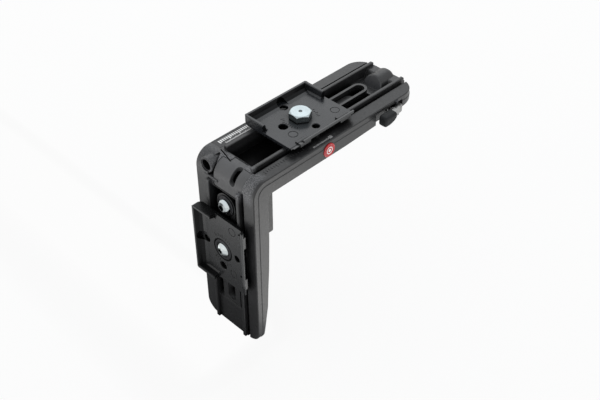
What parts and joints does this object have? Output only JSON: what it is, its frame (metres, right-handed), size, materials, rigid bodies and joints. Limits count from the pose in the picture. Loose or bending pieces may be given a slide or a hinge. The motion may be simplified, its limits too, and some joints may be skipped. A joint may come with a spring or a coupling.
{
  "type": "camera l-bracket",
  "caption": "Cast L-shaped camera bracket with a sliding quick-release plate on each arm, a side stop, a sliding camera seat with its screw, and a side lock lever.",
  "frame": {"origin": "where the camera screw's axis meets the camera seat, on the inner side of the long arm", "axes": "+X along the long arm away from the corner, +Z out of the long arm's outer (plate) side, the short arm hangs along -Z, +Y across the bracket towards the tall walls of the plates"},
  "size_m": [0.1528, 0.0574, 0.1409],
  "materials": {
    "cast_black": "satin",
    "plate_black": "satin",
    "zinc_steel": "bright zinc",
    "dark_steel": "blackened",
    "lever_metal": "satin",
    "black_plastic": "matte",
    "rubber": "matte",
    "label_print": "matte",
    "badge_red": "gloss"
  },
  "bodies": {
    "frame": {"bracket_frame": "cast_black", "corner_saddle": "cast_black", "saddle_screws": "dark_steel", "corner_bushing": "dark_steel", "end_bushing": "dark_steel", "scale_label": "label_print", "side_badge": "badge_red", "lever_pin": "dark_steel"},
    "base_plate": {"base_plate": "plate_black", "base_washer": "dark_steel", "base_slot_nut": "zinc_steel"},
    "base_bolt": {"base_bolt": "zinc_steel"},
    "side_carriage": {"side_plate": "plate_black", "side_washer": "dark_steel", "upper_washer": "dark_steel", "side_clamp_bar": "dark_steel", "side_stop": "cast_black", "side_stop_pad": "rubber", "side_stop_screws": "zinc_steel"},
    "side_bolt": {"side_bolt": "zinc_steel"},
    "upper_screw": {"upper_screw": "zinc_steel"},
    "camera_carriage": {"camera_carriage": "cast_black", "camera_pad": "rubber"},
    "camera_screw": {"camera_screw": "zinc_steel", "camera_screw_clip": "dark_steel"},
    "lock_lever": {"lock_lever": "lever_metal", "lever_tip": "black_plastic"},
    "lock_plunger": {"lock_plunger": "dark_steel"}
  },
  "joints": [
    {"name": "base_plate_slide", "type": "slide", "parent": "frame", "child": "base_plate", "axis": [1, 0, 0], "range_m": [-0.007, 0.006]},
    {"name": "base_bolt_turn", "type": "hinge", "parent": "base_plate", "child": "base_bolt", "pos_m": [-0.0257, 0, 0.0208], "axis": [0, 0, 1], "continuous": true},
    {"name": "side_carriage_slide", "type": "slide", "parent": "frame", "child": "side_carriage", "axis": [0, 0, 1], "range_m": [-0.04, 0.001]},
    {"name": "side_bolt_turn", "type": "hinge", "parent": "side_carriage", "child": "side_bolt", "pos_m": [-0.093, 0, -0.044], "axis": [-1, 0, 0], "continuous": true},
    {"name": "upper_screw_turn", "type": "hinge", "parent": "side_carriage", "child": "upper_screw", "pos_m": [-0.091, 0, -0.0112], "axis": [-1, 0, 0], "continuous": true},
    {"name": "camera_carriage_slide", "type": "slide", "parent": "frame", "child": "camera_carriage", "axis": [1, 0, 0], "range_m": [-0.005, 0.008]},
    {"name": "camera_screw_turn", "type": "hinge", "parent": "camera_carriage", "child": "camera_screw", "pos_m": [0, 0, 0], "axis": [0, 0, -1], "continuous": true},
    {"name": "lock_lever_flip", "type": "hinge", "parent": "frame", "child": "lock_lever", "pos_m": [0.0345, -0.0244, 0.0083], "axis": [0, 0, 1], "range_deg": [0, 100]},
    {"name": "lock_plunger_slide", "type": "slide", "parent": "frame", "child": "lock_plunger", "axis": [0, -1, 0], "range_m": [0, 0.0005]}
  ],
  "couplings": [
    {"joint": "lock_plunger_slide", "follows": "lock_lever_flip", "m_per_rad": 0.000286}
  ]
}
